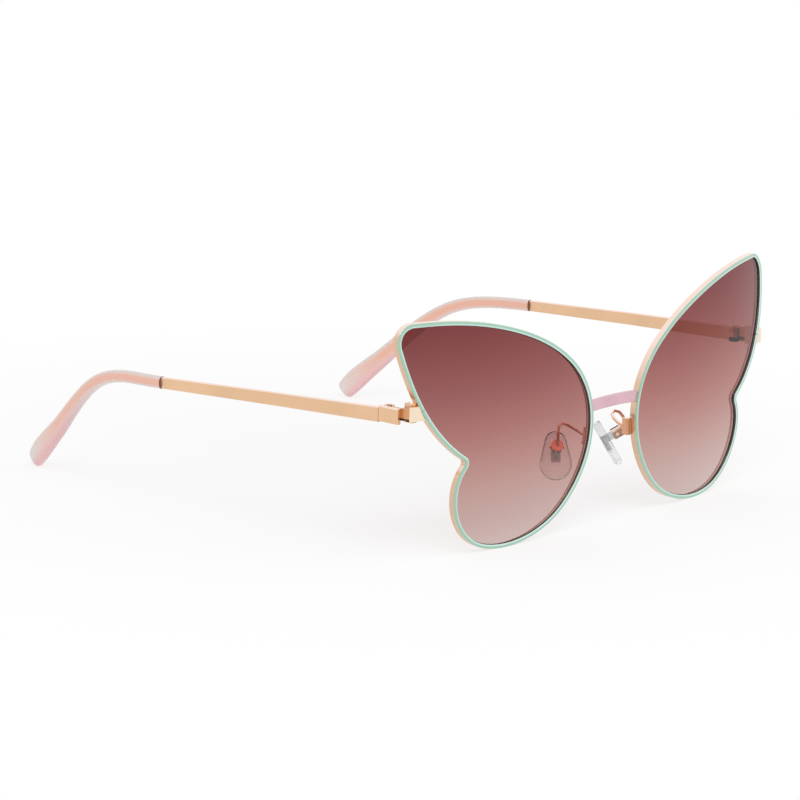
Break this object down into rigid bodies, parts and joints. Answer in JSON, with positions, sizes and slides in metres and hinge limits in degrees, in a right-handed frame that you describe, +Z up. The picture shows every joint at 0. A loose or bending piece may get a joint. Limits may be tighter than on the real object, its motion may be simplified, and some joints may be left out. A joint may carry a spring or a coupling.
{
  "type": "butterfly sunglasses",
  "caption": "Metal wire sunglasses with butterfly-wing lenses, mint enamelled rims, pink bridge, flat folding temples, clear tips and nose pads",
  "frame": {"origin": "centre of the bounding box in X and Y, on the table plane below the rims and tips", "axes": "+X across the face to the wearer's left, +Y from the lenses back to the temple tips, +Z up"},
  "size_m": [0.14, 0.1348, 0.0555],
  "materials": {
    "rose_gold": "polished rose gold plating",
    "temple_metal": "satin peach gold plating",
    "copper_gold": "bright copper gold plating",
    "screw_metal": "turned and plated",
    "mint_enamel": "mint enamel on the front, rose gold plating on the sides and back",
    "pink_lacquer": "smooth pink lacquer",
    "tinted_lens": "pinkish brown tint fading downwards",
    "pink_tip": "translucent pink acetate",
    "clear_pad": "clear silicone"
  },
  "bodies": {
    "front": {"bridge": "pink_lacquer", "rim_left": "mint_enamel", "rim_right": "mint_enamel", "lens_left": "tinted_lens", "lens_right": "tinted_lens", "end_piece_left": "rose_gold", "end_piece_right": "rose_gold", "closing_block_upper_left": "rose_gold", "closing_block_upper_right": "rose_gold", "closing_block_lower_left": "rose_gold", "closing_block_lower_right": "rose_gold", "rim_screw_left": "screw_metal", "rim_screw_right": "screw_metal", "hinge_screw_left": "screw_metal", "hinge_screw_right": "screw_metal", "pad_arm_left": "copper_gold", "pad_arm_right": "copper_gold", "pad_box_left": "copper_gold", "pad_box_right": "copper_gold", "pad_screw_left": "screw_metal", "pad_screw_right": "screw_metal"},
    "temple_left": {"hinge_block_left": "temple_metal", "temple_left": "temple_metal", "temple_tip_left": "pink_tip"},
    "temple_right": {"hinge_block_right": "temple_metal", "temple_right": "temple_metal", "temple_tip_right": "pink_tip"},
    "nose_pad_left": {"pad_core_left": "copper_gold", "nose_pad_left": "clear_pad"},
    "nose_pad_right": {"pad_core_right": "copper_gold", "nose_pad_right": "clear_pad"}
  },
  "joints": [
    {"name": "temple_left_fold", "type": "hinge", "parent": "front", "child": "temple_left", "pos_m": [0.06561, -0.05296, 0.03439], "axis": [0, 0, 1], "range_deg": [0, 88]},
    {"name": "temple_right_fold", "type": "hinge", "parent": "front", "child": "temple_right", "pos_m": [-0.06561, -0.05296, 0.03439], "axis": [0, 0, -1], "range_deg": [0, 83]},
    {"name": "nose_pad_left_rock", "type": "hinge", "parent": "front", "child": "nose_pad_left", "pos_m": [0.0114, -0.05905, 0.0189], "axis": [-0.6896, -0.7242, 0], "range_deg": [-10, 10]},
    {"name": "nose_pad_right_rock", "type": "hinge", "parent": "front", "child": "nose_pad_right", "pos_m": [-0.0114, -0.05905, 0.0189], "axis": [-0.6896, 0.7242, 0], "range_deg": [-10, 10]}
  ]
}
